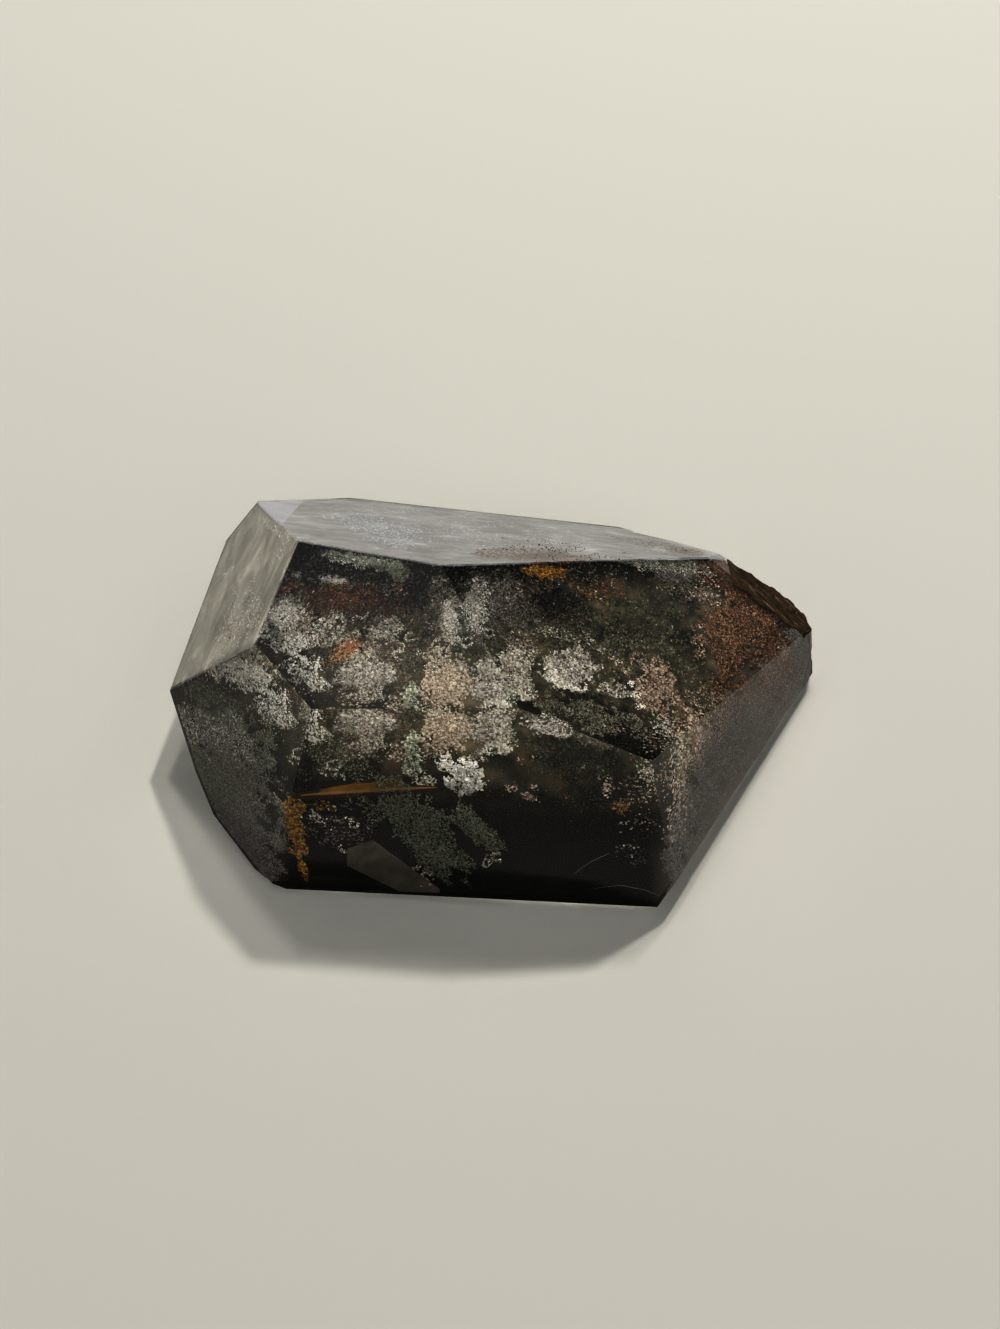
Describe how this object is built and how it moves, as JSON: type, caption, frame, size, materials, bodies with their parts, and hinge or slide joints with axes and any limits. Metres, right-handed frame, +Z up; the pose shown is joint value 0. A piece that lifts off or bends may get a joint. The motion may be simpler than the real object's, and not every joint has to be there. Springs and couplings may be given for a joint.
{
  "type": "lodolite garden quartz freeform",
  "caption": "Polished freeform of clear quartz with large flat facets over a mineral garden inside; a display stone that rests on its flat foot.",
  "frame": {"origin": "middle of the bounding box on the ground, under the stone", "axes": "+Z up from the flat foot, +X along the stone's long way to the thin end with natural skin, -Y to the large front facet"},
  "size_m": [0.0882, 0.06, 0.0322],
  "materials": {
    "clear_quartz": "polished",
    "garden_minerals": "granular"
  },
  "bodies": {
    "root": {"quartz_stone": "clear_quartz", "mineral_garden": "garden_minerals"}
  },
  "joints": []
}
